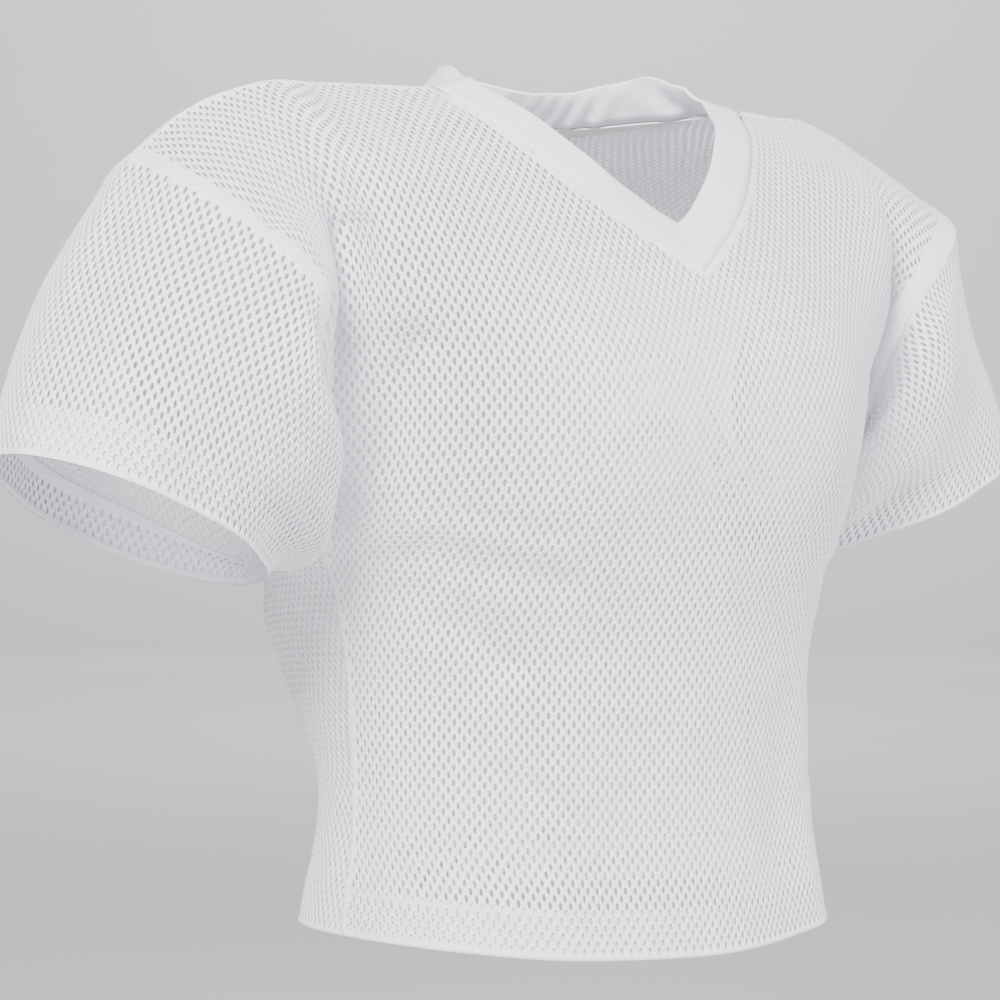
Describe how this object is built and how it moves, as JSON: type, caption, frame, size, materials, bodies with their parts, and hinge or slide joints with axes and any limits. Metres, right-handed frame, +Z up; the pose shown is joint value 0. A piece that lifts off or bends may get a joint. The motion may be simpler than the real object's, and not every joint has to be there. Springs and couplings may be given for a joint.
{
  "type": "football practice jersey",
  "caption": "Waist-length pullover practice jersey of open mesh with a plain V-neck band and short wide sleeves, in its worn, hollow form.",
  "frame": {"origin": "middle of the neck base, level with the points where the collar crosses the shoulder seams", "axes": "+Z up, the wearer faces -Y, +X to the wearer's left"},
  "size_m": [0.823, 0.3614, 0.5553],
  "materials": {
    "mesh_knit": "soft sheen of bright filament yarn",
    "collar_knit": "matt fine knit"
  },
  "bodies": {
    "root": {"front": "mesh_knit", "back": "mesh_knit", "sleeve_right": "mesh_knit", "sleeve_left": "mesh_knit", "neck_tape": "collar_knit", "collar": "collar_knit"}
  },
  "joints": []
}
